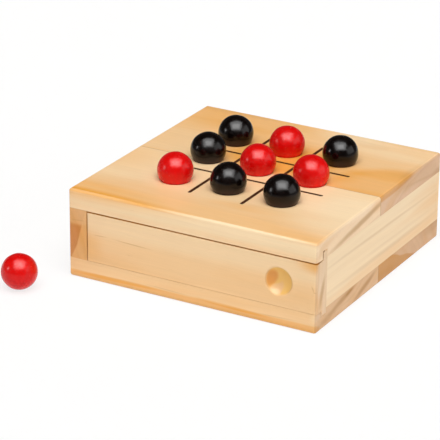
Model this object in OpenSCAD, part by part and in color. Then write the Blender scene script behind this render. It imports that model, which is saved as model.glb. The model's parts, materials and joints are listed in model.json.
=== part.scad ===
// Wooden tic-tac-toe box: a board with nine ball hollows over a store that a sliding front panel closes.
// The origin is the middle of the underside. The panel faces -Y and slides out towards +X.

/* [Box] */
// Width of the box, left to right
box_w = 150; // [135:1:200]
// Depth of the box, front to back
box_d = 150; // [135:1:200]
// Thickness of the top boards
top_t = 11; // [10:0.5:16]
// Thickness of the bottom boards
bottom_t = 11; // [8:0.5:16]
// Height of the walls between the top and bottom boards
wall_h = 28.8; // [24:0.1:50]
// Thickness of the side and rear walls
wall_t = 11.3; // [7:0.1:14]
// How far the glue seam in the top and bottom boards lies behind the middle
seam_back = -1.5; // [-8:0.5:8]
// Radius of the sanded outer edges
edge_r = 1.5; // [0.5:0.25:2.5]

/* [Sliding panel] */
// Thickness of the board lips that hold the panel's tongues in
lip_t = 6.5; // [4:0.25:8]
// Thickness of the panel's upper tongue
tongue_t = 4.4; // [2.5:0.1:5]
// Height of the tongue in the top boards' groove
top_tongue_h = 4; // [2.5:0.25:5]
// Height of the tongue in the bottom boards' groove
bottom_tongue_h = 2.8; // [2:0.2:4]
// Running gap behind and below the panel
run_gap = 0.2; // [0.1:0.05:0.4]
// Running gap between the upper tongue and the lip in front of it
top_lip_gap = 0.5; // [0.1:0.05:0.6]
// Running gap between the lower tongue and the lip in front of it
bottom_lip_gap = 0.2; // [0.1:0.05:0.5]
// Play above the panel, which rests on its lower edge
top_play = 0.6; // [0.3:0.1:1]
// Gap at the panel's closed end
end_gap = 0.6; // [0.3:0.1:1]
// Radius of the finger hollow's rim
finger_rim_r = 8; // [6:0.5:11]
// Depth of the finger hollow
finger_depth = 4.5; // [3:0.1:6]
// Distance from the panel's open end to the middle of the finger hollow
finger_inset = 22; // [14:1:40]

/* [Balls] */
// Diameter of a ball
ball_d = 20; // [18:0.2:24]
// How far a ball sits below the board's face
seat_depth = 4.5; // [3:0.1:6]
// Gap between a ball and its hollow
seat_gap = 0.2; // [0.1:0.05:0.4]
// Distance between the middles of neighbouring hollows
hollow_pitch = 32.7; // [30:0.1:42]
// How far the middle hollow's even place lies right of the box's middle
hollow_right = 0.5; // [0:0.1:3]
// How far the middle hollow's even place lies in front of the box's middle
hollow_front = 1; // [0:0.1:3]
// Distance of the loose ball's middle from the left face
loose_ball_left = 13.5; // [13:0.5:60]
// Distance of the loose ball's middle from the front face
loose_ball_front = 28.5; // [20:0.5:60]

/* [Grid] */
// Distance between the two parallel lines
line_pitch = 31.8; // [28:0.1:38]
// Length of a line
line_l = 96; // [80:1:120]
// Width of a line
line_w = 2.1; // [0.8:0.1:3]
// Depth of the engraved line
line_depth = 0.5; // [0.3:0.1:1]
// How far the paint in the line lies below the board's face
paint_sink = 0.1; // [0.05:0.05:0.2]
// How far the grid's middle lies left of the box's middle
grid_left = 0.5; // [0:0.1:3]
// How far the grid's middle lies behind the box's middle
grid_back = 0.3; // [0:0.1:3]

/* [Hidden] */
$fn = 96;
// Margin by which a cut runs past the face that it opens
cut_over = 1;
box_h = bottom_t + wall_h + top_t;
wall_top_z = bottom_t + wall_h;
front_y = -box_d / 2;
groove_t = top_lip_gap + tongue_t + run_gap;
groove_y = front_y + lip_t;
// The right wall and the store begin behind the panel's groove
store_y = groove_y + groove_t;
store_x = -box_w / 2 + wall_t;
top_groove_h = top_tongue_h + top_play;
bottom_groove_h = bottom_tongue_h + run_gap;
panel_x = store_x + end_gap;
panel_t = lip_t + top_lip_gap + tongue_t;
panel_z = bottom_t + run_gap;
panel_h = wall_h - run_gap - top_play;
ball_r = ball_d / 2;
// Balls and hollows share their middles, so that the gap is even all round
ball_z = box_h + ball_r - seat_depth;
hollow_r = ball_r + seat_gap;
// A round hollow with this rim and depth is part of a sphere of this radius
finger_r = (finger_rim_r * finger_rim_r + finger_depth * finger_depth) / (2 * finger_depth);

// Cells are [column, row], counted from the front left corner of the grid
CELLS = [0, 1, 2];
RED_CELLS = [[0, 0], [1, 1], [1, 2], [2, 1]];
BLACK_CELLS = [[0, 1], [0, 2], [1, 0], [2, 0], [2, 2]];
// Hand drilling set each hollow a little off its even place: shares of the pitch, to the right and back
DRILL_SLIPS = [
    [[0, -0.03], [0.012, 0.05], [0.02, -0.005]],
    [[-0.02, 0.01], [0, -0.015], [0.02, -0.02]],
    [[-0.02, -0.01], [-0.005, -0.012], [0.003, 0.037]]
];

function cell_place(cell) =
    let (slip = DRILL_SLIPS[cell[0]][cell[1]])
    [
        hollow_right + (cell[0] - 1 + slip[0]) * hollow_pitch,
        -hollow_front + (cell[1] - 1 + slip[1]) * hollow_pitch,
        ball_z
    ];

// A rectangle of w by h, centred, with round corners
module round_rectangle(w, h) {
    square([w - 2 * edge_r, h], center = true);
    square([w, h - 2 * edge_r], center = true);
    for (x = [-1, 1], y = [-1, 1])
        translate([x * (w / 2 - edge_r), y * (h / 2 - edge_r)])
            circle(r = edge_r);
}

// The box's outer shape: every piece of it is sanded to this after gluing
module sanded_outline() {
    intersection() {
        linear_extrude(height = box_h)
            round_rectangle(box_w, box_d);
        translate([0, box_d / 2, box_h / 2])
            rotate([90, 0, 0])
                linear_extrude(height = box_d)
                    round_rectangle(box_w, box_h);
        translate([-box_w / 2, 0, box_h / 2])
            rotate([90, 0, 90])
                linear_extrude(height = box_w)
                    round_rectangle(box_d, box_h);
    }
}

// A block from one corner to the other, cut to the sanded outline
module sanded_block(low, high) {
    intersection() {
        sanded_outline();
        translate(low)
            cube(high - low);
    }
}

// The nine round-bottomed hollows that the balls sit in
module ball_hollows() {
    for (column = CELLS, row = CELLS)
        translate(cell_place([column, row]))
            sphere(r = hollow_r);
}

// One line of the grid, along X, with round ends
module line_outline() {
    square([line_l - line_w, line_w], center = true);
    for (end = [-1, 1])
        translate([end * (line_l - line_w) / 2, 0])
            circle(d = line_w);
}

// The four lines, as deep as asked for from the bottom of their engraving
module grid_solid(depth) {
    translate([-grid_left, grid_back, box_h - line_depth])
        linear_extrude(height = depth)
            for (turn = [0, 90], side = [-1, 1])
                rotate(turn)
                    translate([0, side * line_pitch / 2])
                        line_outline();
}

// The groove that a tongue runs in: stopped at the left wall and open at the right end
module tongue_groove(z, h) {
    translate([store_x, groove_y, z])
        cube([box_w / 2 - store_x + cut_over, groove_t, h]);
}

module top_board(y_low, y_high) {
    difference() {
        sanded_block([-box_w / 2, y_low, wall_top_z], [box_w / 2, y_high, box_h]);
        ball_hollows();
        grid_solid(line_depth + cut_over);
        tongue_groove(wall_top_z - cut_over, top_groove_h + cut_over);
    }
}

module top_front_board() {
    color("#EFC68F")
        top_board(front_y, seam_back);
}

module top_rear_board() {
    color("#EBB777")
        top_board(seam_back, box_d / 2);
}

module bottom_board(y_low, y_high) {
    difference() {
        sanded_block([-box_w / 2, y_low, 0], [box_w / 2, y_high, bottom_t]);
        tongue_groove(bottom_t - bottom_groove_h, bottom_groove_h + cut_over);
    }
}

module bottom_front_board() {
    color("#E9BE86")
        bottom_board(front_y, seam_back);
}

module bottom_rear_board() {
    color("#D2A679")
        bottom_board(seam_back, box_d / 2);
}

// The left wall runs the whole depth, so its end grain shows beside the panel
module left_wall() {
    color("#D29A60")
        sanded_block([-box_w / 2, front_y, bottom_t], [store_x, box_d / 2, wall_top_z]);
}

// The right wall stops behind the panel, which slides out past its end
module right_wall() {
    color("#F0DAB4")
        sanded_block([box_w / 2 - wall_t, store_y, bottom_t], [box_w / 2, box_d / 2, wall_top_z]);
}

module rear_wall() {
    color("#EBCB9B")
        sanded_block(
            [store_x, box_d / 2 - wall_t, bottom_t],
            [box_w / 2 - wall_t, box_d / 2, wall_top_z]
        );
}

// The panel has a tongue along its top and bottom edges, behind the boards' lips
module sliding_panel() {
    tongue_low_z = bottom_t - bottom_tongue_h;
    finger_y = front_y + finger_depth - finger_r;
    color("#EDC793")
        difference() {
            union() {
                sanded_block(
                    [panel_x, front_y, panel_z],
                    [box_w / 2, front_y + panel_t, panel_z + panel_h]
                );
                sanded_block(
                    [panel_x, groove_y + top_lip_gap, panel_z],
                    [box_w / 2, front_y + panel_t, wall_top_z + top_tongue_h]
                );
                sanded_block(
                    [panel_x, groove_y + bottom_lip_gap, tongue_low_z],
                    [box_w / 2, front_y + panel_t, panel_z + panel_h]
                );
            }
            translate([box_w / 2 - finger_inset, finger_y, panel_z + panel_h / 2])
                sphere(r = finger_r);
        }
}

// Dark brown paint in the engraved lines
module grid_lines() {
    color("#2E190C")
        grid_solid(line_depth - paint_sink);
}

module ball() {
    sphere(d = ball_d);
}

module red_ball(number) {
    color("#D9191C")
        translate(cell_place(RED_CELLS[number - 1]))
            ball();
}

module black_ball(number) {
    color("#17100D")
        translate(cell_place(BLACK_CELLS[number - 1]))
            ball();
}

// The tenth ball lies on the table, in front of the box's left corner
module loose_red_ball() {
    color("#D9191C")
        translate([-box_w / 2 - loose_ball_left, front_y - loose_ball_front, ball_r])
            ball();
}

top_front_board();
top_rear_board();
bottom_front_board();
bottom_rear_board();
left_wall();
right_wall();
rear_wall();
sliding_panel();
grid_lines();
for (i = [1 : len(RED_CELLS)])
    red_ball(i);
for (i = [1 : len(BLACK_CELLS)])
    black_ball(i);
loose_red_ball();
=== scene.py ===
"""Pine tic-tac-toe box: a hollowed board with a painted grid, ten balls and a panel that slides out."""

import json
import math

import bmesh
import bpy
from bpy.props import FloatProperty, FloatVectorProperty, IntProperty, PointerProperty
from mathutils import Matrix, Vector, noise

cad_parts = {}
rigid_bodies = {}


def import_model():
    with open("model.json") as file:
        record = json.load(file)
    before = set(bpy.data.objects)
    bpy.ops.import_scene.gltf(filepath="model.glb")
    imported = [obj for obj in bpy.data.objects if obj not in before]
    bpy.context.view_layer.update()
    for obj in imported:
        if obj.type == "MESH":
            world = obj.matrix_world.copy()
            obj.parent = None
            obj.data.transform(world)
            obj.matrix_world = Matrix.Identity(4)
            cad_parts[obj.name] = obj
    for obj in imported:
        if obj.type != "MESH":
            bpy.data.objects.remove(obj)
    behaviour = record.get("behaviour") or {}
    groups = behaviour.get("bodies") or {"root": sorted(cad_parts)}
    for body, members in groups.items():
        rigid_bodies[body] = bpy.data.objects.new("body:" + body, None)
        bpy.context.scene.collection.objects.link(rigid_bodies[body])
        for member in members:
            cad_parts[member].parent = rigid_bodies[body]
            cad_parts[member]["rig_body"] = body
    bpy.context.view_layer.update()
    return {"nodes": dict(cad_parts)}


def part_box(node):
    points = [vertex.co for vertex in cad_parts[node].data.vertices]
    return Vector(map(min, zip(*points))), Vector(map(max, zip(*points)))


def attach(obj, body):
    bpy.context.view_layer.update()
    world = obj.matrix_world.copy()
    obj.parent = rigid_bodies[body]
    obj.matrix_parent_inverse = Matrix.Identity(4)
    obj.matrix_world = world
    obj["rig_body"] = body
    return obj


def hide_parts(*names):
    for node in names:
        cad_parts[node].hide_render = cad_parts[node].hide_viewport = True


bl_info = {
    "name": "Tic-tac-toe Box",
    "version": (1, 0, 0),
    "blender": (4, 5, 0),
    "location": "View3D > Sidebar > Tic-tac-toe Box",
    "description": "Models a pine tic-tac-toe box with painted balls and its plain studio",
    "category": "Object",
}

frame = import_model()
OUTLINE_LOW = Vector((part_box("left_wall")[0].x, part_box("left_wall")[0].y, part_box("bottom_front_board")[0].z))
OUTLINE_HIGH = Vector((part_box("right_wall")[1].x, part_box("rear_wall")[1].y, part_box("top_front_board")[1].z))
BALLS = sorted(name for name in frame["nodes"] if "_ball" in name)
MM = 0.001
# How near two places count as one, and how near a saw cut lets a corner lie to its plane.
NEAR = 1e-6
SAW_NEAR = 1e-8
# Faces that turn by less than FLAT are one face. From EASED on an edge is eased, and from SHARP on it is
# shaded as a sharp one.
FLAT, EASED, SHARP = math.radians(0.4), math.radians(32), math.radians(50)
# How fast the wood changes per millimetre along, across and through the trunk: the sway and ripple of its
# rings, its broad clouds, its fibres and strands, and its resin canals.
SWAY, RIPPLE, CLOUD = (0.009, 0.03, 0.03), (0.035, 0.16, 0.16), (0.012, 0.045, 0.045)
FIBRE, STRAND, CANAL = (0.03, 1.5, 1.5), (0.012, 0.42, 0.42), (0.13, 2.3, 2.3)
# How far the sway and the ripple move the rings, and how far a plank's marks stray with them.
SWAY_REACH, RIPPLE_REACH = (0.0, 7.0, 7.0), (0.0, 1.1, 1.1)
STRAY_X, STRAY_Y, STRAY_RIPPLE = (9.0, 3.4, 0.5), (2.2, 9.0, 0.5), (0.8, 0.8, 0.5)
# How far apart in the noise two seeds lie, so that no plank repeats another.
SEED_STEP = 137.0
# Kinds of marks that are mixed over the wood, in this order.
HOLLOW_MARKS = ("gold", "bowl", "cream")
# The gap kind, and the glue kind where it follows the panel's gaps, are painted shade.
OVER_MARKS = (*HOLLOW_MARKS, "rust", "dark", "gap", "glue")
EXACT_MARKS = ("gap", "glue")
# Facets of the tools that cut round shapes: round and down a ball hollow, round the finger hollow and along
# its rim and its bowl, and round the end of a line.
HOLLOW_ROUND, HOLLOW_DOWN, FINGER_ROUND, FINGER_RIM, FINGER_BOWL, LINE_END = 64, 40, 96, 10, 30, 6
# How often a ball's faces are divided, how close together its bumps lie, and how strong they are before they
# level off.
BALL_LEVELS, UNEVEN_SCALE, UNEVEN_GAIN = 6, 1.9, 1.6
FLOOR_RADIUS, FLOOR_ROUND, FLOOR_DROP = 5.0, 96, 0.05 * MM
BACKDROP_HEIGHT, BACKDROP_CURVE, BACKDROP_STEPS = 2.5, 0.4, 8
LAMP_AIM = Vector((0, 0, 0.03))
# How much of the floor the camera sees lit, so that it keeps the shadow, and how near and far from the box
# the room that the paint mirrors turns dark.
SHADOW_SHARE, BRIGHT_FLOOR, DARK_ROOM = 0.22, 0.25, 0.80

# One row for each plank: the way of its grain, where its tree's middle runs past it in millimetres, how its
# grain turns in degrees, how wide its rings are, its own seed, how warm and how light its faces are, and how
# much warmer, darker and bluer its end grain is.
PLANKS = {
    "top_front": ("X", (0, -8, -120), (0.8, 0.5), 5.2, 3.1, 0.14, 1.022, (-0.04, 0.88, 1.03)),
    "top_rear": ("X", (0, 66, -70), (-0.9, -0.6), 5.0, 8.4, 0.34, 1.0, (0.1, 0.76, 1.18)),
    "bottom_front": ("X", (0, -46, 62), (0.4, -0.7), 4.6, 5.7, 0.37, 0.975, (0.1, 0.77, 1.08)),
    "bottom_rear": ("X", (0, 4, -22), (0.5, 0.4), 6.0, 2.2, 0.42, 0.98, (0.12, 0.71, 1.16)),
    "left": ("Y", (-150, 0, -10), (0.6, -0.5), 6.0, 6.6, 0.4, 0.97, (0.36, 0.93, 1.0)),
    "right": ("Y", (68, 0, 96), (0.5, 0.3), 7.4, 1.3, -0.12, 0.9, (0.1, 0.85, 1.0)),
    "rear": ("X", (0, 120, 18), (-0.5, 0.6), 4.8, 9.2, 0.24, 1.0, (0.1, 0.85, 1.0)),
    "panel": ("X", (0, -150, 40), (-0.3, 1.1), 4.6, 4.5, 0.17, 0.985, (-0.03, 0.83, 1.04)),
}

# A mark is a soft lens in the wood, in millimetres: its kind, middle and half lengths, the share of the lens
# that has its full strength, that strength, and its turn in degrees if it has one. The glue and gap kinds lie
# exactly where they are put, and the others stray with the grain. Gold, bowl and cream are the cut grain inside
# the finger hollow. The first marks lie on two or more planks: along the panel's gaps, where they are painted
# shade that darkens the edges to a warm brown, and along the boards' seams, where the lines are real.
# Painted shade on the edges along the panel's upper joint line, with more of it near both ends.
PANEL_GAP = (
    ("gap", (0, -73.6, 39.5), (400, 2.6, 0.85), 0.45, 0.75),
    ("gap", (-60, -73.6, 39.5), (75, 2.6, 0.8), 0.4, 0.4),
    ("gap", (78, -73.6, 39.5), (16, 2.6, 0.8), 0.35, 0.6),
)
# Painted shade on the edges along the upright joint between the left wall and the panel.
WALL_GAP = (
    ("gap", (-63.4, -73.6, 25), (0.75, 2.6, 20), 0.45, 0.8),
    ("gap", (-63.4, -73.6, 37), (0.8, 2.6, 13), 0.35, 0.6),
)
# Painted shade along the gaps round the panel's upper tongue, seen on the open end, in the seams' dark colour.
HOOK = (
    ("glue", (75, -71.6, 39.5), (16, 3.6, 0.7), 0.3, 0.6),
    ("glue", (75, -68.2, 42.0), (16, 0.7, 3.0), 0.4, 0.85),
    ("glue", (75, -67.3, 44.1), (16, 1.6, 0.7), 0.4, 0.85),
)
TOP_SEAM = ("glue", (0, -1.5, 46), (400, 0.42, 30), 0.1, 0.55)
BOTTOM_SEAM = ("glue", (0, -1.5, 6), (400, 0.42, 30), 0.1, 0.45)
# The marks that each plank shows.
MARKS = {
    "top_front": (
        ("honey", (-10, -75, 50.8), (220, 33, 1.9), 0.35, 0.46),
        ("honey", (-75, -75, 50.8), (100, 8, 8.6), 0.2, 0.5),
        ("honey", (-75, -70, 50.8), (70, 16, 3.0), 0.3, 0.26),
        ("honey", (-80, -15, 50.8), (48, 36, 4.0), 0.1, 0.32),
        ("honey", (25, -50, 50.8), (34, 7, 3.0), 0.2, 0.2, (0, 0, 4)),
        ("honey", (0, -20, 50.8), (40, 18, 3.0), 0.2, 0.16),
        ("honey", (75, -4, 47.0), (6, 14, 5.0), 0.2, 0.25),
        ("pale", (75, -26, 50.8), (42, 22, 4.0), 0.3, 0.2),
        ("pale", (85, -56, 50.8), (48, 18, 4.0), 0.3, 0.24),
        ("pale", (60, -75, 45.0), (60, 6, 5.5), 0.3, 0.12),
        ("pale", (0, -75, 46.0), (400, 3, 5.0), 0.3, 0.14),
        ("pale", (30, -75.2, 50.9), (64, 2.4, 2.2), 0.65, 0.62),
        ("pale", (-66, -75.2, 50.9), (48, 2.4, 2.2), 0.5, 0.42),
        ("pale", (-75, -72, 51.5), (70, 10, 1.6), 0.45, 0.16),
        ("dark", (75, -24, 44.6), (6, 50, 2.7), 0.25, 0.62, (6.6, 0, 0)),
        *PANEL_GAP,
        *HOOK,
        TOP_SEAM,
    ),
    "top_rear": (
        ("honey", (-45, 72, 50.8), (75, 42, 4.0), 0.35, 0.42),
        ("honey", (4, 20, 50.8), (56, 34, 4.0), 0.4, 0.58),
        ("honey", (2, 15, 50.8), (44, 24, 4.0), 0.4, 0.18),
        ("honey", (74, 4, 50.8), (40, 39, 4.0), 0.74, 0.46, (0, 0, 8)),
        ("dark", (78, 33, 50.8), (18, 9, 4.0), 0.3, 0.12, (0, 0, 14)),
        ("honey", (-82, 22, 50.8), (42, 30, 4.0), 0.2, 0.12),
        ("honey", (58, 80, 50.8), (60, 12, 4.0), 0.2, 0.2),
        ("dark", (55, 79, 50.8), (56, 9, 4.0), 0.2, 0.16),
        ("pale", (22, 72, 50.8), (34, 14, 4.0), 0.2, 0.25),
        ("pale", (54, 55, 50.8), (34, 10, 4.0), 0.3, 0.16),
        ("dark", (-55, 77, 50.8), (52, 12, 4.0), 0.2, 0.28),
        ("dark", (75, 45, 46.5), (6, 44, 7.0), 0.4, 0.22, (-3, 0, 0)),
        ("dark", (75, 50, 43.0), (6, 30, 1.4), 0.1, 0.16, (-7, 0, 0)),
        ("dark", (75, 76, 41.0), (6, 18, 3.6), 0.2, 0.4),
        TOP_SEAM,
    ),
    "bottom_front": (
        ("honey", (0, -75, 1.6), (400, 6, 3.5), 0.62, 0.42),
        ("honey", (-44, -75, 3.6), (34, 6, 1.5), 0.5, 0.24, (0, -1.2, 0)),
        ("honey", (24, -75, 4.1), (28, 6, 1.3), 0.5, 0.24, (0, 1.6, 0)),
        ("late", (52, -75, 4.9), (15, 5, 0.5), 0.2, 0.26, (0, -2, 0)),
        ("late", (-14, -75, 5.2), (17, 5, 0.5), 0.2, 0.28, (0, 1.5, 0)),
        ("dark", (0, -75, 0.4), (400, 6, 2.6), 0.2, 0.18),
        ("dark", (75, -42, 8.5), (6, 21, 2.8), 0.2, 0.7, (9.2, 0, 0)),
        ("dark", (75, -36, 9.3), (6, 7, 1.4), 0.2, 0.45, (9, 0, 0)),
        ("dark", (75, -16.5, 5.7), (6, 22, 2.7), 0.2, 0.78, (16.3, 0, 0)),
        # Painted shade: two dark dots beside the lower groove's gaps on the open end.
        ("glue", (75, -69, 9.8), (1, 0.5, 0.45), 0.2, 0.6),
        ("glue", (75, -69, 7.8), (1, 0.5, 0.45), 0.2, 0.6),
        ("dark", (75, -62, 4.2), (6, 15, 3.2), 0.2, 0.42, (8, 0, 0)),
        ("pale", (75, -74, 8.6), (6, 9, 3.6), 0.2, 0.22),
        BOTTOM_SEAM,
    ),
    "bottom_rear": (
        ("honey", (75, 27.2, -4.6), (6, 60, 12), 0.93, 0.45, (-19.3, 0, 0)),
        ("dark", (75, 27.2, -4.6), (6, 60, 12), 0.93, 0.3, (-19.3, 0, 0)),
        ("dark", (75, 72, 8.6), (6, 30, 4.6), 0.2, 0.34),
        ("dark", (75, 60, 10.4), (6, 36, 1.2), 0.1, 0.2),
        BOTTOM_SEAM,
    ),
    "left": (
        ("rust", (-97.1, -75, 30.9), (30, 6, 60), 0.965, 0.46, (0, 21.8, 0)),
        ("rust", (-70, -75, 38.8), (16, 6, 9.8), 0.72, -0.38, (0, -3, 0)),
        ("pale", (-69, -75, 38), (14, 6, 8.0), 0.8, 0.1, (0, -3, 0)),
        ("dark", (-70.6, -75, 20.4), (0.5, 6, 9), 0.1, 0.16, (0, 21.8, 0)),
        ("dark", (-72.9, -75, 17.5), (0.4, 6, 7), 0.1, 0.12, (0, 21.8, 0)),
        ("dark", (-69, -75, 33.4), (7, 6, 0.5), 0.2, 0.2, (0, -3, 0)),
        *WALL_GAP,
    ),
    "right": (
        ("honey", (75, 84, 26), (3, 75, 30), 0.1, 0.38),
        ("honey", (75, 0, 13.0), (3, 120, 5.6), 0.3, 0.34),
        ("late", (75, 2, 31.4), (3, 95, 1.5), 0.1, 0.3, (-1.0, 0, 0)),
        ("late", (75, 4, 17.4), (3, 95, 2.2), 0.1, 0.28, (-0.7, 0, 0)),
        ("late", (75, 20, 21.4), (3, 70, 1.8), 0.1, 0.16, (-0.9, 0, 0)),
    ),
    "rear": (
        ("honey", (-20, 75, 30), (70, 5, 6), 0.2, 0.4, (0, 2, 0)),
    ),
    "panel": (
        ("honey", (0, -75, 15), (400, 3, 17), 0.55, 0.23),
        ("honey", (-64, -75, 21), (16, 3, 14), 0.2, 0.22),
        ("honey", (77, -75, 39), (18, 3, 7.5), 0.2, 0.65),
        ("honey", (75, -71, 15), (5, 5, 9), 0.2, 0.32),
        ("late", (-54, -75, 27.2), (6, 5, 0.45), 0.2, 0.34, (0, -2, 0)),
        ("late", (-34, -75, 26.6), (15, 5, 0.5), 0.2, 0.44, (0, 2.4, 0)),
        ("late", (73.2, -75, 25.1), (0.6, 3, 2.6), 0.2, 0.34, (0, -24, 0)),
        ("late", (74.2, -75, 23.3), (1.2, 3, 0.45), 0.2, 0.34, (0, 10, 0)),
        ("dark", (75, -68.4, 21.5), (5, 2.8, 12), 0.2, 0.52, (-18.4, 0, 0)),
        *PANEL_GAP,
        *WALL_GAP,
        *HOOK,
        ("gold", (53.5, -73, 25.2), (13, 7, 13), 0.85, 0.96),
        ("bowl", (47.7, -71, 25.4), (3.6, 30, 6.8), 0.45, 0.95, (0, 8, 0)),
        ("cream", (50.9, -71, 18.2), (3.8, 30, 4.9), 0.66, 0.95),
        ("cream", (52.9, -71, 20.4), (2.3, 30, 4.2), 0.4, 0.85),
    ),
}


class BoxShape(bpy.types.PropertyGroup):
    """Sizes of the box's boards and panel that the CAD model's boxes don't give."""

    edge_radius: FloatProperty(
        name="Edge radius", description="Radius of the sanded outer edges",
        default=1.5 * MM, min=0.0, unit="LENGTH",
    )
    edge_segments: IntProperty(
        name="Edge segments", description="Facets round a sanded edge", default=8, min=1
    )
    joint_ease: FloatProperty(
        name="Joint ease", description="Rounding where two boards meet",
        default=0.16 * MM, min=0.0, unit="LENGTH",
    )
    rim_ease: FloatProperty(
        name="Rim ease", description="Rounding of the hollows' rims and the panel's edges",
        default=0.16 * MM, min=0.0, unit="LENGTH",
    )
    finger_ease: FloatProperty(
        name="Finger rim ease", description="Radius of the finger hollow's worn rim",
        default=1.5 * MM, min=0.0001, unit="LENGTH",
    )
    lip: FloatProperty(
        name="Lip", description="Thickness of the lips that hold the panel in",
        default=6.5 * MM, min=0.001, unit="LENGTH",
    )
    tongue: FloatProperty(
        name="Tongue", description="Thickness of the panel's upper tongue",
        default=4.4 * MM, min=0.001, unit="LENGTH",
    )
    top_groove: FloatProperty(
        name="Top groove", description="Depth of the groove in the top boards",
        default=4.5 * MM, min=0.001, unit="LENGTH",
    )
    bottom_groove: FloatProperty(
        name="Bottom groove", description="Depth of the groove in the bottom boards",
        default=3.0 * MM, min=0.001, unit="LENGTH",
    )
    run_gap: FloatProperty(
        name="Running gap", description="Gap behind and below the panel",
        default=0.2 * MM, min=0.0, unit="LENGTH",
    )
    top_lip_gap: FloatProperty(
        name="Top lip gap", description="Gap between the upper tongue and its lip",
        default=0.5 * MM, min=0.0, unit="LENGTH",
    )
    bottom_lip_gap: FloatProperty(
        name="Bottom lip gap", description="Gap between the lower tongue and its lip",
        default=0.2 * MM, min=0.0, unit="LENGTH",
    )
    top_play: FloatProperty(
        name="Top play", description="Gap above the panel's face",
        default=0.6 * MM, min=0.0, unit="LENGTH",
    )
    finger_rim: FloatProperty(
        name="Finger hollow radius", description="Radius of the finger hollow's rim",
        default=8.0 * MM, min=0.001, unit="LENGTH",
    )
    finger_depth: FloatProperty(
        name="Finger hollow depth", description="Depth of the finger hollow",
        default=4.5 * MM, min=0.001, unit="LENGTH",
    )
    finger_inset: FloatProperty(
        name="Finger hollow inset", description="From the panel's open end to the hollow's middle",
        default=22.0 * MM, unit="LENGTH",
    )


class GridShape(bpy.types.PropertyGroup):
    """Sizes of the four painted lines."""

    pitch: FloatProperty(
        name="Line pitch", description="Distance between two parallel lines",
        default=31.8 * MM, unit="LENGTH",
    )
    width: FloatProperty(
        name="Line width", description="Width of a line", default=2.1 * MM, min=0.0005, unit="LENGTH"
    )
    meniscus: FloatProperty(
        name="Paint hollow", description="How far the paint's middle dries below its edges",
        default=0.07 * MM, unit="LENGTH",
    )


class BallShape(bpy.types.PropertyGroup):
    """Sizes of the balls and their seats."""

    seat_gap: FloatProperty(
        name="Seat gap", description="Gap between a ball and its hollow", default=0.2 * MM, unit="LENGTH"
    )
    wobble: FloatProperty(
        name="Wobble", description="How far the turned wood departs from a true ball",
        default=0.07 * MM, unit="LENGTH",
    )


class WoodFinish(bpy.types.PropertyGroup):
    """Colours of the lacquered pine, with the painted shade along the panel's gaps."""

    pale: FloatVectorProperty(
        name="Pale wood", description="Early wood of a pale plank",
        subtype="COLOR", size=3, default=(0.972, 0.748, 0.476),
    )
    honey: FloatVectorProperty(
        name="Honey wood", description="Broad warm bands at their warmest",
        subtype="COLOR", size=3, default=(0.849, 0.356, 0.0225),
    )
    late: FloatVectorProperty(
        name="Late wood", description="Thin lines of late wood",
        subtype="COLOR", size=3, default=(0.560, 0.290, 0.110),
    )
    dark: FloatVectorProperty(
        name="Dark wood", description="Dark streaks in the end grain",
        subtype="COLOR", size=3, default=(0.430, 0.210, 0.055),
    )
    rust: FloatVectorProperty(
        name="Red-brown wood", description="Red-brown end grain",
        subtype="COLOR", size=3, default=(0.500, 0.110, 0.010),
    )
    # Painted shade: a warm brown laid on the edges along the panel's gaps, so that they look shaded.
    gap: FloatVectorProperty(
        name="Wood in a gap", description="Edges on both sides of the panel's gap",
        subtype="COLOR", size=3, default=(0.620, 0.250, 0.030),
    )
    # Real seam lines between glued planks, and painted shade along the gaps round the panel's tongues at the open
    # end.
    glue: FloatVectorProperty(
        name="Glue line", description="Seam between two planks",
        subtype="COLOR", size=3, default=(0.300, 0.140, 0.050),
    )
    gold: FloatVectorProperty(
        name="Cut honey wood", description="Golden grain inside the finger hollow",
        subtype="COLOR", size=3, default=(0.885, 0.560, 0.170),
    )
    bowl: FloatVectorProperty(
        name="Cut late wood", description="Brown grain inside the finger hollow",
        subtype="COLOR", size=3, default=(0.790, 0.358, 0.096),
    )
    cream: FloatVectorProperty(
        name="Cut early wood", description="Pale grain inside the finger hollow",
        subtype="COLOR", size=3, default=(0.850, 0.545, 0.275),
    )


class PaintFinish(bpy.types.PropertyGroup):
    """Colours of the balls' and the lines' paint, and the painted reflection on the balls' downward halves."""

    red: FloatVectorProperty(
        name="Red", description="Paint of the red balls",
        subtype="COLOR", size=3, default=(0.700, 0.0018, 0.0012),
    )
    black: FloatVectorProperty(
        name="Black", description="Paint of the black balls",
        subtype="COLOR", size=3, default=(0.0022, 0.0006, 0.0003),
    )
    # Painted light: a purer red on the downward half of a red ball, set against the board's warm reflection there.
    red_painted_lower_half: FloatVectorProperty(
        name="Red below", description="Red paint towards the seat",
        subtype="COLOR", size=3, default=(0.700, 0.0004, 0.0002),
    )
    # Painted reflection: the board's warm brown on the downward half of a black ball.
    black_painted_board_reflection: FloatVectorProperty(
        name="Black below", description="Black paint towards the seat",
        subtype="COLOR", size=3, default=(0.030, 0.004, 0.001),
    )
    red_roughness: FloatProperty(
        name="Red roughness", description="Roughness of the red paint", default=0.24, min=0.0
    )
    black_roughness: FloatProperty(
        name="Black roughness", description="Roughness of the black paint", default=0.21, min=0.0
    )
    line: FloatVectorProperty(
        name="Line", description="Paint of the grid lines",
        subtype="COLOR", size=3, default=(0.042, 0.012, 0.0025),
    )


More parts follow.
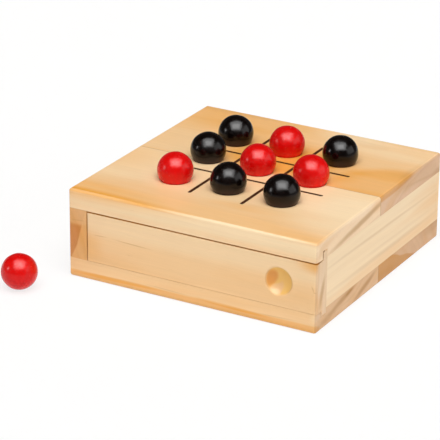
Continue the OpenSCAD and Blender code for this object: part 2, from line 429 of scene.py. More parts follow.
class StageSettings(bpy.types.PropertyGroup):
    """Where the camera stands and how strong the lamps are."""

    camera_place: FloatVectorProperty(
        name="Camera place", description="Where the camera stands",
        subtype="TRANSLATION", size=3, default=(0.59349, -1.10600, 0.54861),
    )
    camera_aim: FloatVectorProperty(
        name="Camera aim", description="What the camera points at",
        subtype="TRANSLATION", size=3, default=(-0.02371, 0.0, 0.01607),
    )
    camera_roll: FloatProperty(
        name="Camera roll", description="Turn about the line of sight",
        default=math.radians(0.497), subtype="ANGLE",
    )
    camera_lens: FloatProperty(
        name="Lens", description="Focal length in millimetres on a 36 mm sensor", default=202.41
    )
    key: FloatProperty(
        name="Key light", description="Light from the soft key above the camera", default=2.80
    )
    box: FloatProperty(
        name="Key box", description="Brightness of the key's soft box in reflections", default=5.9
    )
    side: FloatProperty(
        name="Side strip", description="Brightness of the small light on the left", default=13.5
    )
    fill: FloatProperty(name="Fill", description="Brightness of the fill panel on the right", default=1.0)
    gleam: FloatProperty(name="Fill gleam", description="What the fill adds in reflections", default=0.6)
    room: FloatProperty(name="Room light", description="Strength of the room's own light", default=0.04)


class Shader:
    """A material's nodes, written as short calls that return sockets."""

    def __init__(self, name):
        self.material = bpy.data.materials.new(name)
        self.material.use_nodes = True
        self.tree = self.material.node_tree
        self.tree.nodes.clear()

    def put(self, socket, value):
        if isinstance(value, bpy.types.NodeSocket):
            self.tree.links.new(value, socket)
        elif value is not None:
            socket.default_value = value

    def node(self, kind, settings=None, **inputs):
        node = self.tree.nodes.new("ShaderNode" + kind)
        for key, value in (settings or {}).items():
            setattr(node, key, value)
        for key, value in inputs.items():
            self.put(node.inputs[key.replace("_", " ")], value)
        return node

    def math(self, operation, a, b=None):
        node = self.node("Math", {"operation": operation})
        for socket, value in zip(node.inputs, (a, b)):
            self.put(socket, value)
        return node.outputs[0]

    def vector(self, operation, a, b=None):
        node = self.node("VectorMath", {"operation": operation})
        self.put(node.inputs[0], a)
        self.put(node.inputs["Scale"] if operation == "SCALE" else node.inputs[1], b)
        return node.outputs["Value"] if operation in ("LENGTH", "DOT_PRODUCT") else node.outputs[0]

    def object_spot(self):
        return self.node("TexCoord").outputs["Object"]

    def object_normal(self):
        return self.node("TexCoord").outputs["Normal"]

    def lens(self, spot, middle, halves, turn=(0, 0, 0)):
        """Turns a place into the frame of a lens whose surface is at distance 1."""
        turn = [math.radians(angle) for angle in turn]
        lens = {"Vector": spot, "Location": middle, "Rotation": turn, "Scale": halves}
        return self.node("Mapping", {"vector_type": "TEXTURE"}, **lens).outputs[0]

    def noise(self, spot, detail=2.0, roughness=0.5, dimensions="3D"):
        node = self.node("TexNoise", {"noise_dimensions": dimensions}, Scale=1.0, Detail=detail)
        node.inputs["Roughness"].default_value = roughness
        self.put(node.inputs["W" if dimensions == "1D" else "Vector"], spot)
        return node.outputs[0]

    def noise_vector(self, spot):
        """Noise from -0.5 to 0.5 in each direction."""
        node = self.node("TexNoise", {}, Vector=spot, Scale=1.0, Detail=2.0)
        return self.vector("SUBTRACT", node.outputs["Color"], (0.5, 0.5, 0.5))

    def ramp(self, value, low, high, start=0.0, end=1.0):
        """A smooth step from start to end while the value goes from low to high."""
        node = self.node("MapRange", {"interpolation_type": "SMOOTHSTEP"})
        for socket, part in zip(node.inputs, (value, low, high, start, end)):
            self.put(socket, part)
        return node.outputs[0]

    def mix(self, share, a, b):
        node = self.node("Mix", {"data_type": "RGBA"})
        self.put(node.inputs[0], share)
        for socket, colour in ((node.inputs[6], a), (node.inputs[7], b)):
            self.put(socket, colour if isinstance(colour, bpy.types.NodeSocket) else (*colour, 1.0))
        return node.outputs[2]

    def tint(self, colour, level):
        """A colour made lighter or darker by a level, where 1 changes nothing."""
        return self.vector("SCALE", colour, level)

    def surface(self, relief, depth, **inputs):
        """Ends the material in a shader whose skin rises by depth where the relief is 1."""
        bump = self.node("Bump", {}, Strength=1.0, Distance=depth, Height=relief).outputs[0]
        return self.finish(self.node("BsdfPrincipled", None, Normal=bump, **inputs).outputs[0])

    def matt(self, grey):
        return self.node("BsdfDiffuse", {}, Color=(grey, grey, grey, 1.0)).outputs[0]

    def blend(self, share, a, b):
        """A mix of two shaders."""
        node = self.node("MixShader", {}, Fac=share)
        self.put(node.inputs[1], a)
        self.put(node.inputs[2], b)
        return node.outputs[0]

    def finish(self, shader):
        self.node("OutputMaterial", None, Surface=shader)
        return self.material


def pine_material(key, finish):
    """Lacquered pine cut out of a ringed trunk, with the marks of one plank."""
    along, heart, (across, down), ring, seed, tone, lightness, (warmer, darker, bluer) = PLANKS[key]
    n = Shader("pine_" + key)
    spot = n.object_spot()
    turned = along == "Y"
    heart = [part * MM for part in heart]
    trunk = n.lens(spot, heart, (MM, MM, MM), (0.0, down, across + (90.0 if turned else 0.0)))
    shifted = n.vector("ADD", trunk, (seed * SEED_STEP, 0.0, 0.0))

    sway = n.noise_vector(n.vector("MULTIPLY", shifted, SWAY))
    ripple = n.noise_vector(n.vector("MULTIPLY", shifted, RIPPLE))
    bent = n.vector("ADD", shifted, n.vector("MULTIPLY", sway, SWAY_REACH))
    bent = n.vector("ADD", bent, n.vector("MULTIPLY", ripple, RIPPLE_REACH))
    radius = n.vector("LENGTH", n.vector("MULTIPLY", bent, (0.0, 1.0, 1.0)))

    drift = n.noise(n.math("MULTIPLY", radius, 0.07), detail=1.0, dimensions="1D")
    year = n.math("ADD", n.math("DIVIDE", radius, ring), n.math("MULTIPLY", drift, 2.4))
    season = n.math("FRACT", year)
    which = n.math("FLOOR", n.math("ADD", year, seed * 10.0))
    luck = n.node("TexWhiteNoise", {"noise_dimensions": "1D"}, W=which)
    weight = n.ramp(luck.outputs[0], 0.1, 1.0, 0.15, 1.0)
    late = n.math("MULTIPLY", n.ramp(season, 0.30, 0.93), n.ramp(season, 0.95, 1.0, 1.0, 0.0))
    late = n.math("MULTIPLY", late, weight)

    spread = n.noise(n.math("MULTIPLY", radius, 0.11), detail=1.0, dimensions="1D")
    cloud = n.noise(n.vector("MULTIPLY", bent, CLOUD), detail=3.0)
    halves = n.math("ADD", n.math("MULTIPLY", spread, 0.5), n.math("MULTIPLY", cloud, 0.5))
    band = n.ramp(halves, 0.46, 0.66)

    fibre = n.noise(n.vector("MULTIPLY", bent, FIBRE), detail=3.0, roughness=0.6)
    strand = n.noise(n.vector("MULTIPLY", bent, STRAND), detail=2.0)
    canal = n.noise(n.vector("MULTIPLY", bent, CANAL), detail=1.0)
    fleck = n.ramp(canal, 0.70, 0.80)

    facing = n.vector("DOT_PRODUCT", n.object_normal(), (0.0, 1.0, 0.0) if turned else (1.0, 0.0, 0.0))
    end = n.ramp(n.math("ABSOLUTE", facing), 0.30, 0.72)

    exact = n.vector("SCALE", spot, 1 / MM)
    marked = n.vector("ADD", exact, n.vector("MULTIPLY", sway, STRAY_Y if turned else STRAY_X))
    marked = n.vector("ADD", marked, n.vector("MULTIPLY", ripple, STRAY_RIPPLE))
    base = n.math("ADD", n.math("MULTIPLY", band, 0.16), tone)
    totals = {"honey": n.math("ADD", base, n.math("MULTIPLY", end, warmer))}
    for kind, middle, halves, core, strength, *turn in MARKS[key]:
        place = exact if kind in EXACT_MARKS else marked
        reach = n.vector("LENGTH", n.lens(place, middle, halves, *turn))
        mask = n.ramp(reach, core, 1.0, strength, 0.0)
        totals[kind] = n.math("ADD", totals[kind], mask) if kind in totals else mask
    if "pale" in totals:
        totals["honey"] = n.math("SUBTRACT", totals["honey"], totals["pale"])

    colour = n.mix(n.math("MULTIPLY", totals["honey"], 0.8), tuple(finish.pale), tuple(finish.honey))
    colour = n.mix(n.math("MULTIPLY", late, n.ramp(end, 0.0, 1.0, 0.07, 0.16)), colour, tuple(finish.late))
    if "late" in totals:
        colour = n.mix(totals["late"], colour, tuple(finish.late))
    level = n.math("ADD", n.math("MULTIPLY", fibre, 0.09), n.math("MULTIPLY", strand, 0.07))
    light = n.ramp(end, 0.0, 1.0, lightness, lightness * darker)
    level = n.math("MULTIPLY", n.math("ADD", level, 0.92), light)
    colour = n.tint(colour, level)
    colour = n.vector("MULTIPLY", colour, n.mix(end, (1.0, 1.0, 1.0), (1.0, 0.985, bluer)))
    colour = n.mix(n.math("MULTIPLY", fleck, 0.16), colour, tuple(finish.late))
    if "gold" in totals:
        behind = n.node("SeparateXYZ", None, Vector=spot).outputs[1]
        behind = n.ramp(behind, OUTLINE_LOW.y + 0.03 * MM, OUTLINE_LOW.y + 1.4 * MM)
        for kind in HOLLOW_MARKS:
            totals[kind] = n.math("MULTIPLY", totals[kind], behind)
    # Here the marks along the panel's gaps lay painted shade over the wood, among the seams and the hollow's cut
    # grain.
    for kind in OVER_MARKS:
        if kind in totals:
            colour = n.mix(totals[kind], colour, tuple(getattr(finish, kind)))

    rough = n.math("ADD", n.math("MULTIPLY", fibre, 0.16), n.ramp(end, 0.0, 1.0, 0.40, 0.52))
    relief = n.math("ADD", fibre, n.math("MULTIPLY", late, 0.5))
    lacquer = {"Specular_IOR_Level": 0.10, "Coat_Weight": 0.34, "Coat_Roughness": 0.22}
    return n.surface(relief, 0.010 * MM, Base_Color=colour, Roughness=rough, **lacquer)


def paint_material(name, middle, seed, colour, worn, low, roughness):
    """Brushed paint on turned wood: slightly uneven in colour and gloss, with a fine skin. Its downward half takes
    a painted reflection of the board.
    """
    n = Shader(name)
    own = n.lens(n.object_spot(), middle, (MM, MM, MM), (seed * 61.0 % 180.0, seed * 37.0 % 180.0, 0.0))
    own = n.vector("ADD", own, (seed * 19.0, 0.0, 0.0))
    patch = n.noise(n.vector("SCALE", own, 0.22), detail=3.0)
    streak = n.noise(n.vector("MULTIPLY", own, (0.10, 0.9, 0.9)), detail=3.0, roughness=0.6)
    skin = n.noise(n.vector("SCALE", own, 1.3), detail=2.0)
    speck = n.ramp(n.noise(n.vector("SCALE", own, 1.9), detail=1.0), 0.75, 0.80)
    shade = n.mix(n.ramp(patch, 0.35, 0.75, 0.0, 0.6), colour, worn)
    # Painted reflection: the downward half takes the low colour, the board's warm brown on black and a purer red
    # on red.
    upward = n.vector("DOT_PRODUCT", n.object_normal(), (0.0, 0.0, 1.0))
    shade = n.mix(n.ramp(upward, -0.75, 0.0, 1.0, 0.0), shade, low)
    shade = n.tint(shade, n.ramp(streak, 0.25, 0.75, 0.95, 1.04))
    dust = tuple(min(1.0, part * 1.5 + 0.004) for part in colour)
    shade = n.mix(n.math("MULTIPLY", speck, 0.25), shade, dust)
    relief = n.math("ADD", n.math("MULTIPLY", streak, 0.9), n.math("MULTIPLY", skin, 0.6))
    rough = n.math("ADD", n.ramp(patch, 0.3, 0.7, -0.03, 0.04), roughness)
    return n.surface(relief, 0.006 * MM, Base_Color=shade, Roughness=rough, Specular_IOR_Level=0.28)


def line_material(finish):
    """Matt dark brown paint, thinner in places."""
    n = Shader("line_paint_brown")
    spot = n.vector("SCALE", n.object_spot(), 1 / MM)
    patch = n.noise(n.vector("SCALE", spot, 0.35), detail=3.0)
    grain = n.noise(n.vector("MULTIPLY", spot, (0.4, 2.4, 2.4)), detail=2.0)
    base = tuple(finish.line)
    worn = tuple(part * 2.4 + 0.012 for part in base)
    shade = n.mix(n.ramp(patch, 0.45, 0.8, 0.0, 0.7), base, worn)
    shade = n.tint(shade, n.ramp(grain, 0.3, 0.7, 0.8, 1.2))
    rough = n.ramp(patch, 0.3, 0.7, 0.60, 0.74)
    return n.surface(grain, 0.02 * MM, Base_Color=shade, Roughness=rough, Specular_IOR_Level=0.08)


def square_block(low, high):
    """A block with square edges, as a new bmesh."""
    bm = bmesh.new()
    bmesh.ops.create_cube(bm, size=1.0)
    bmesh.ops.scale(bm, vec=high - low, verts=bm.verts)
    bmesh.ops.translate(bm, vec=(high + low) / 2, verts=bm.verts)
    return bm


def bevel(bm, edges, width, segments, **more):
    """Rounds edges by one width."""
    bmesh.ops.bevel(
        bm, geom=edges, offset=width, offset_type="OFFSET", affect="EDGES",
        segments=segments, profile=0.5, material=-1, **more,
    )


def plane_across(bm, axis, value, way):
    """What a saw cut needs: all of the solid, and a plane across an axis that looks up or down it."""
    point, normal = Vector((0, 0, 0)), Vector((0, 0, 0))
    point[axis] = value
    normal[axis] = way
    return {"geom": bm.verts[:] + bm.edges[:] + bm.faces[:], "plane_co": point, "plane_no": normal}


def cut_to(bm, axis, value, keep_above):
    """Saws a solid off at a plane and closes the cut."""
    plane = plane_across(bm, axis, value, -1.0 if keep_above else 1.0)
    cut = bmesh.ops.bisect_plane(bm, clear_outer=True, dist=SAW_NEAR, **plane)
    edges = [part for part in cut["geom_cut"] if isinstance(part, bmesh.types.BMEdge)]
    if edges:
        bmesh.ops.holes_fill(bm, edges=edges, sides=0)


def split_at(bm, axis, value):
    """Divides the faces that cross a plane, so that no face goes round a hole."""
    bmesh.ops.bisect_plane(bm, dist=NEAR, **plane_across(bm, axis, value, 1.0))


def sanded_block(low, high, shape):
    """A board sawn out of the glued box's rounded outline."""
    bm = square_block(OUTLINE_LOW, OUTLINE_HIGH)
    bevel(bm, bm.edges[:], shape.edge_radius, shape.edge_segments)
    for axis in range(3):
        if low[axis] > OUTLINE_LOW[axis] + NEAR:
            cut_to(bm, axis, low[axis], True)
        if high[axis] < OUTLINE_HIGH[axis] - NEAR:
            cut_to(bm, axis, high[axis], False)
    return bm


def line_blocks(pitch, length, width, low_z, high_z, middle, along):
    """Two parallel round-ended bars: the pair of grid lines along one axis."""
    bm = bmesh.new()
    size, step = Vector((length, width, high_z - low_z)), Vector((0, pitch / 2, 0))
    if along == "Y":
        size, step = size.yxz, step.yxz
    centre = Vector((middle.x, middle.y, (low_z + high_z) / 2))
    for side in (-1, 1):
        bar = bmesh.ops.create_cube(bm, size=1.0)["verts"]
        bmesh.ops.scale(bm, vec=size, verts=bar)
        bmesh.ops.translate(bm, vec=centre + side * step, verts=bar)
    upright = [edge for edge in bm.edges if abs(edge.verts[0].co.z - edge.verts[1].co.z) > NEAR]
    bevel(bm, upright, width * 0.499, LINE_END)
    return bm


def as_object(bm, name):
    """Turns a bmesh into an object in the scene."""
    mesh = bpy.data.meshes.new(name)
    bm.to_mesh(mesh)
    bm.free()
    thing = bpy.data.objects.new(name, mesh)
    bpy.context.scene.collection.objects.link(thing)
    return thing


def combine(bm, tools, operation="DIFFERENCE"):
    """The solid after each tool in turn is cut from it or joined to it, as a new bmesh."""
    work = as_object(bm, "work")
    helpers = [as_object(tool, "tool") for tool in tools]
    for helper in helpers:
        step = work.modifiers.new("cut", "BOOLEAN")
        step.solver = "EXACT"
        step.operation = operation
        step.object = helper
    bpy.context.view_layer.update()
    result = bmesh.new()
    result.from_object(work, bpy.context.evaluated_depsgraph_get())
    for thing in [work, *helpers]:
        mesh = thing.data
        bpy.data.objects.remove(thing)
        bpy.data.meshes.remove(mesh)
    bmesh.ops.remove_doubles(result, verts=result.verts, dist=2 * NEAR)
    bmesh.ops.dissolve_limit(
        result, angle_limit=FLAT, verts=result.verts, edges=result.edges, use_dissolve_boundaries=False
    )
    return result


def lies_at(edge, axis, value):
    """Whether both ends of an edge have one value along an axis."""
    return all(abs(vert.co[axis] - value) < NEAR for vert in edge.verts)


def ease(bm, width, segments, chosen=None):
    """Rounds the sharp outward edges that a filter chooses."""
    bm.normal_update()
    edges = [
        edge
        for edge in bm.edges
        if edge.is_manifold
        and edge.is_convex
        and edge.calc_face_angle() > EASED
        and (chosen is None or chosen(edge))
    ]
    if edges:
        bevel(bm, edges, width, segments, clamp_overlap=True)


def hand_over(bm, name, node, material):
    """Turns a finished bmesh into the object that stands for a CAD node."""
    bm.normal_update()
    if any(not edge.is_manifold for edge in bm.edges):
        raise RuntimeError(f"{name} has an open edge")
    if bm.calc_volume(signed=True) < 0:
        bmesh.ops.reverse_faces(bm, faces=bm.faces)
    for face in bm.faces:
        face.smooth = True
    for edge in bm.edges:
        edge.smooth = edge.calc_face_angle() < SHARP
    piece = as_object(bm, name)
    piece.data.materials.append(material)
    body = frame["nodes"][node]["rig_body"]
    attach(piece, body)
    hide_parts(node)
    return piece


def finish_plank(context, bm, name, node, key):
    """Hands a plank over in its own pine. Its flat faces rule the shading, so that only eased edges turn."""
    plank = hand_over(bm, name, node, pine_material(key, context.scene.ttt_wood))
    step = plank.modifiers.new("flats", "WEIGHTED_NORMAL")
    step.mode = "FACE_AREA"
    step.weight = 100
    step.keep_sharp = True


def ball_size(node):
    """A ball's middle and radius."""
    low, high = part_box(node)
    return (low + high) / 2, (high.x - low.x) / 2


def hollow_cutter(settings, low, high):
    """One ball for each hollow that reaches into a board."""
    bm = bmesh.new()
    for node in BALLS:
        middle, radius = ball_size(node)
        if node.startswith("loose") or not low.y - radius < middle.y < high.y + radius:
            continue
        made = bmesh.ops.create_uvsphere(
            bm, u_segments=HOLLOW_ROUND, v_segments=HOLLOW_DOWN, radius=radius + settings.seat_gap
        )
        bmesh.ops.translate(bm, vec=middle, verts=made["verts"])
    return bm


def grid_tools(context, low_z, high_z):
    """The two pairs of grid lines, from one height to another."""
    shape = context.scene.ttt_grid
    low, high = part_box("grid_lines")
    middle = (low + high) / 2
    return [
        line_blocks(shape.pitch, length, shape.width, low_z, high_z, middle, along)
        for along, length in (("X", high.x - low.x), ("Y", high.y - low.y))
    ]


def groove_tool(context, low_z, high_z):
    """The panel's groove, from the left wall out through the open end."""
    shape = context.scene.ttt_box
    front = OUTLINE_LOW.y + shape.lip
    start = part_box("left_wall")[1].x
    back = front + shape.top_lip_gap + shape.tongue + shape.run_gap
    return square_block(Vector((start, front, low_z)), Vector((OUTLINE_HIGH.x + MM, back, high_z)))


def finger_cutter(shape, middle):
    """The finger hollow as a solid: a shallow bowl whose rim rounds over into the panel's face."""
    rim, depth, ease_r = shape.finger_rim, shape.finger_depth, shape.finger_ease
    bowl = (rim**2 + depth**2) / (2 * depth)
    outside = bowl - depth
    reach = math.sqrt((bowl + ease_r) ** 2 - (outside + ease_r) ** 2)
    turn = math.atan2(reach, outside + ease_r)
    profile = [(0.0, -MM), (reach, -MM), (reach, 0.005 * MM)]
    for step in range(1, FINGER_RIM + 1):
        angle = turn * step / FINGER_RIM
        profile.append((reach - ease_r * math.sin(angle), ease_r * (1 - math.cos(angle))))
    for step in range(1, FINGER_BOWL + 1):
        angle = turn * (1 - step / FINGER_BOWL)
        profile.append((bowl * math.sin(angle), bowl * math.cos(angle) - outside))
    bm = bmesh.new()
    verts = [bm.verts.new(middle + Vector((out, deep, 0.0))) for out, deep in profile]
    edges = [bm.edges.new(pair) for pair in zip(verts, verts[1:])]
    bmesh.ops.spin(
        bm, geom=[*verts, *edges], cent=middle, axis=(0, 1, 0),
        angle=math.tau, steps=FINGER_ROUND, use_merge=True,
    )
    bmesh.ops.remove_doubles(bm, verts=bm.verts, dist=NEAR / 10)
    bmesh.ops.recalc_face_normals(bm, faces=bm.faces)
    return bm


class TTT_OT_top_boards(bpy.types.Operator):
    """Make the two top boards, with ball hollows, engraved lines and the panel's upper groove"""

    bl_idname = "ttt.top_boards"
    bl_label = "Top Boards"

    def execute(self, context):
        shape = context.scene.ttt_box
        line_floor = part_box("grid_lines")[0].z
        for node, name, key in (
            ("top_front_board", "top_plank_front", "top_front"),
            ("top_rear_board", "top_plank_rear", "top_rear"),
        ):
            low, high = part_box(node)
            board = sanded_block(low, high, shape)
            tools = [hollow_cutter(context.scene.ttt_balls, low, high)]
            tools += grid_tools(context, line_floor, high.z + MM)
            if key == "top_front":
                tools.append(groove_tool(context, low.z - MM, low.z + shape.top_groove))
            board = combine(board, tools)
            top, seam = high.z, low.y if key == "top_rear" else high.y
            chosen = lambda edge: lies_at(edge, 1, seam) or not lies_at(edge, 2, top)
            ease(board, shape.joint_ease, 2, chosen)
            finish_plank(context, board, name, node, key)
        return {"FINISHED"}


class TTT_OT_bottom_boards(bpy.types.Operator):
    """Make the two bottom boards, with the panel's lower groove"""

    bl_idname = "ttt.bottom_boards"
    bl_label = "Bottom Boards"

    def execute(self, context):
        shape = context.scene.ttt_box
        for node, name, key in (
            ("bottom_front_board", "bottom_plank_front", "bottom_front"),
            ("bottom_rear_board", "bottom_plank_rear", "bottom_rear"),
        ):
            low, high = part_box(node)
            board = sanded_block(low, high, shape)
            if key == "bottom_front":
                board = combine(board, [groove_tool(context, high.z - shape.bottom_groove, high.z + MM)])
            ease(board, shape.joint_ease, 2)
            finish_plank(context, board, name, node, key)
        return {"FINISHED"}


class TTT_OT_walls(bpy.types.Operator):
    """Make the left, right and rear walls"""

    bl_idname = "ttt.walls"
    bl_label = "Walls"

    def execute(self, context):
        shape = context.scene.ttt_box
        for node, name, key in (
            ("left_wall", "side_left", "left"),
            ("right_wall", "side_right", "right"),
            ("rear_wall", "side_rear", "rear"),
        ):
            wall = sanded_block(*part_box(node), shape)
            ease(wall, shape.joint_ease, 2)
            finish_plank(context, wall, name, node, key)
        return {"FINISHED"}


class TTT_OT_panel(bpy.types.Operator):
    """Make the sliding panel, with its two tongues and its finger hollow"""

    bl_idname = "ttt.panel"
    bl_label = "Sliding Panel"

    def execute(self, context):
        shape = context.scene.ttt_box
        low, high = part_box("sliding_panel")
        wall_low, wall_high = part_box("left_wall")
        face_low = Vector((low.x, low.y, wall_low.z + shape.run_gap))
        face_high = Vector((high.x, high.y, wall_high.z - shape.top_play))
        panel = sanded_block(face_low, face_high, shape)
        upper = sanded_block(Vector((low.x, high.y - shape.tongue, face_low.z)), high, shape)
        lower_front = OUTLINE_LOW.y + shape.lip + shape.bottom_lip_gap
        lower_high = Vector((high.x, high.y, face_high.z))
        lower = sanded_block(Vector((low.x, lower_front, low.z)), lower_high, shape)
        panel = combine(panel, [upper, lower], "UNION")
        middle = Vector((high.x - shape.finger_inset, low.y, (face_low.z + face_high.z) / 2))
        panel = combine(panel, [finger_cutter(shape, middle)])
        ease(panel, shape.rim_ease, 2)
        finish_plank(context, panel, "front_panel", "sliding_panel", "panel")
        return {"FINISHED"}


class TTT_OT_grid(bpy.types.Operator):
    """Make the paint in the four engraved lines"""

    bl_idname = "ttt.grid"
    bl_label = "Painted Grid"

    def execute(self, context):
        shape = context.scene.ttt_grid
        low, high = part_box("grid_lines")
        along, over = grid_tools(context, low.z, high.z)
        paint = combine(along, [over], "UNION")
        middle = (low + high) / 2
        for axis in range(2):
            for line in (-1, 1):
                for side in (-1, 1):
                    split_at(paint, axis, middle[axis] + line * shape.pitch / 2 + side * shape.width / 2)
        paint.normal_update()
        face = [part for part in paint.faces if part.normal.z > 0.99]
        bmesh.ops.inset_region(
            paint, faces=face, thickness=shape.width / 5, depth=-shape.meniscus, use_even_offset=True
        )
        hand_over(paint, "painted_grid", "grid_lines", line_material(context.scene.ttt_paint))
        return {"FINISHED"}


class TTT_OT_balls(bpy.types.Operator):
    """Make the ten turned and painted balls"""

    bl_idname = "ttt.balls"
    bl_label = "Balls"

    def execute(self, context):
        paint = context.scene.ttt_paint
        wobble = context.scene.ttt_balls.wobble
        red, black = tuple(paint.red), tuple(paint.black)
        worn_red = (red[0] * 0.92, red[1] * 0.7, red[2] * 0.7)
        worn_black = tuple(part * 2.2 for part in black)
        # The third colour of each coat is the painted reflection on the ball's downward half.
        red_coat = (red, worn_red, tuple(paint.red_painted_lower_half), paint.red_roughness)
        black_coat = (black, worn_black, tuple(paint.black_painted_board_reflection), paint.black_roughness)
        for index, node in enumerate(BALLS):
            middle, radius = ball_size(node)
            ball = bmesh.new()
            bmesh.ops.create_icosphere(ball, subdivisions=BALL_LEVELS, radius=radius - wobble)
            drift = Vector((7.3 * index, 2.9, 4.1 * index))
            for vert in ball.verts:
                out = vert.co.normalized()
                swell = UNEVEN_GAIN * noise.noise(out * UNEVEN_SCALE + drift)
                vert.co += out * wobble * max(-1.0, min(1.0, swell))
            bmesh.ops.translate(ball, vec=middle, verts=ball.verts)
            coat = black_coat if "black" in node else red_coat
            material = paint_material("paint_" + node, middle, index + 1.0, *coat)
            hand_over(ball, "turned_" + node, node, material)
        return {"FINISHED"}


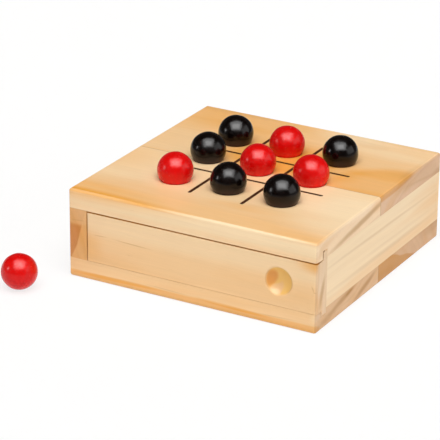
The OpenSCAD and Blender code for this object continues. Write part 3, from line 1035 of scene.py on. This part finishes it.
class TTT_OT_stage(bpy.types.Operator):
    """Make the plain floor, the round backdrop, the lamps and the camera"""

    bl_idname = "ttt.stage"
    bl_label = "Stage"

    def execute(self, context):
        settings = context.scene.ttt_stage
        scene = context.scene
        bm = bmesh.new()
        bmesh.ops.create_circle(bm, cap_ends=True, segments=FLOOR_ROUND, radius=FLOOR_RADIUS)
        rim = [edge for edge in bm.edges if edge.is_boundary]
        raised = bmesh.ops.extrude_edge_only(bm, edges=rim)["geom"]
        raised = [part for part in raised if isinstance(part, bmesh.types.BMVert)]
        bmesh.ops.translate(bm, vec=(0, 0, BACKDROP_HEIGHT), verts=raised)
        corner = [edge for edge in bm.edges if all(vert.co.z < 0.01 for vert in edge.verts)]
        bevel(bm, corner, BACKDROP_CURVE, BACKDROP_STEPS)
        bmesh.ops.translate(bm, vec=(0, 0, -FLOOR_DROP), verts=bm.verts)
        for face in bm.faces:
            face.smooth = True
        floor = as_object(bm, "studio_floor")
        floor.data.materials.append(self.floor_material())

        world = bpy.data.worlds.new("studio_room")
        scene.world = world
        world.use_nodes = True
        room = world.node_tree.nodes["Background"]
        room.inputs["Color"].default_value = (1.0, 0.99, 0.97, 1.0)
        room.inputs["Strength"].default_value = settings.room

        self.sun(scene, "key", settings.key, 60.0, 30.0, 67.0)
        for name, brightness, size, azimuth, elevation, distance, glossy_only in (
            ("key_box", settings.box, (1.90, 1.65), 30.0, 68.0, 1.5, True),
            ("key_box_core", settings.box, (1.00, 0.75), 30.0, 64.0, 1.4, True),
            ("side_strip", settings.side, (0.16, 0.30), -50.0, 17.0, 1.5, True),
            ("fill_panel", settings.fill, (1.9, 1.3), 102.0, 22.0, 2.0, False),
            ("fill_gleam", settings.gleam, (1.9, 1.3), 102.0, 22.0, 1.95, True),
        ):
            self.panel(scene, name, brightness, size, azimuth, elevation, distance, glossy_only)

        data = bpy.data.cameras.new("camera")
        data.sensor_width = 36.0
        data.lens = settings.camera_lens
        data.clip_end = 30.0
        camera = bpy.data.objects.new("camera", data)
        scene.collection.objects.link(camera)
        place = Vector(settings.camera_place)
        back = (place - Vector(settings.camera_aim)).normalized()
        right = Vector((0, 0, 1)).cross(back).normalized()
        up = back.cross(right)
        turn = settings.camera_roll
        over = math.cos(turn) * right + math.sin(turn) * up
        upward = -math.sin(turn) * right + math.cos(turn) * up
        axes = Matrix((over, upward, back)).transposed().to_4x4()
        camera.matrix_world = Matrix.Translation(place) @ axes
        scene.camera = camera
        scene.view_settings.view_transform = "Standard"
        return {"FINISHED"}

    def floor_material(self):
        """A white floor that looks evenly lit, takes the object's shadow and lies in a dim room."""
        n = Shader("white_floor")
        glow = n.node("Emission", {}, Color=(1.0, 1.0, 1.0, 1.0), Strength=1.0).outputs[0]
        seen = n.blend(SHADOW_SHARE, glow, n.matt(1.0))
        path = n.node("LightPath").outputs
        gloss = n.math("MAXIMUM", path["Is Glossy Ray"], path["Is Transmission Ray"])
        direct = n.math("MAXIMUM", path["Is Camera Ray"], gloss)
        away = n.vector("LENGTH", n.object_spot())
        hidden = n.math("MULTIPLY", gloss, n.ramp(away, BRIGHT_FLOOR, DARK_ROOM, 0.0, 0.93))
        return n.finish(n.blend(hidden, n.blend(direct, n.matt(0.92), seen), n.matt(0.01)))

    def direction(self, azimuth, elevation):
        """Towards a lamp: azimuth from the front to the right, elevation from the floor."""
        azimuth, elevation = math.radians(azimuth), math.radians(elevation)
        flat = Vector((math.sin(azimuth), -math.cos(azimuth), 0)) * math.cos(elevation)
        return flat + Vector((0, 0, math.sin(elevation)))

    def lamp(self, scene, name, data, towards, distance):
        lamp = bpy.data.objects.new(name, data)
        lamp.location = LAMP_AIM + towards * distance
        lamp.rotation_euler = towards.to_track_quat("Z", "Y").to_euler()
        lamp.visible_camera = False
        scene.collection.objects.link(lamp)
        return lamp

    def sun(self, scene, name, strength, width, azimuth, elevation):
        data = bpy.data.lights.new(name, "SUN")
        data.energy = strength
        data.angle = math.radians(width)
        data.color = (1.0, 0.985, 0.96)
        lamp = self.lamp(scene, name, data, self.direction(azimuth, elevation), 1.5)
        lamp.visible_glossy = False

    def panel(self, scene, name, brightness, size, azimuth, elevation, distance, glossy_only):
        data = bpy.data.lights.new(name, "AREA")
        data.shape = "RECTANGLE"
        data.size, data.size_y = size
        data.energy = brightness * math.pi * size[0] * size[1]
        lamp = self.lamp(scene, name, data, self.direction(azimuth, elevation), distance)
        lamp.visible_diffuse = not glossy_only


class TTT_PT_sidebar(bpy.types.Panel):
    """Lists the box's sizes, finishes and pieces"""

    bl_label = "Tic-tac-toe Box"
    bl_idname = "TTT_PT_sidebar"
    bl_space_type = "VIEW_3D"
    bl_region_type = "UI"
    bl_category = "Tic-tac-toe Box"

    def draw(self, context):
        for title, name in GROUPS:
            box = self.layout.box()
            box.label(text=title)
            group = getattr(context.scene, name)
            for key in group.bl_rna.properties.keys():
                if key not in ("rna_type", "name"):
                    box.prop(group, key)
        column = self.layout.column(align=True)
        for operator in OPERATORS:
            column.operator(operator.bl_idname)


OPERATORS = (
    TTT_OT_top_boards,
    TTT_OT_bottom_boards,
    TTT_OT_walls,
    TTT_OT_panel,
    TTT_OT_grid,
    TTT_OT_balls,
    TTT_OT_stage,
)
GROUPS = (
    ("Box", "ttt_box"),
    ("Grid", "ttt_grid"),
    ("Balls", "ttt_balls"),
    ("Wood", "ttt_wood"),
    ("Paint", "ttt_paint"),
    ("Stage", "ttt_stage"),
)
SETTINGS = (BoxShape, GridShape, BallShape, WoodFinish, PaintFinish, StageSettings)
CLASSES = (*SETTINGS, *OPERATORS, TTT_PT_sidebar)


def register():
    for item in CLASSES:
        bpy.utils.register_class(item)
    for (_, name), group in zip(GROUPS, SETTINGS):
        setattr(bpy.types.Scene, name, PointerProperty(type=group))


def unregister():
    for _, name in GROUPS:
        delattr(bpy.types.Scene, name)
    for item in reversed(CLASSES):
        bpy.utils.unregister_class(item)


def main():
    register()
    bpy.ops.ttt.top_boards()
    bpy.ops.ttt.bottom_boards()
    bpy.ops.ttt.walls()
    bpy.ops.ttt.panel()
    bpy.ops.ttt.grid()
    bpy.ops.ttt.balls()
    bpy.ops.ttt.stage()
    bpy.context.view_layer.update()


if __name__ == "__main__":
    main()
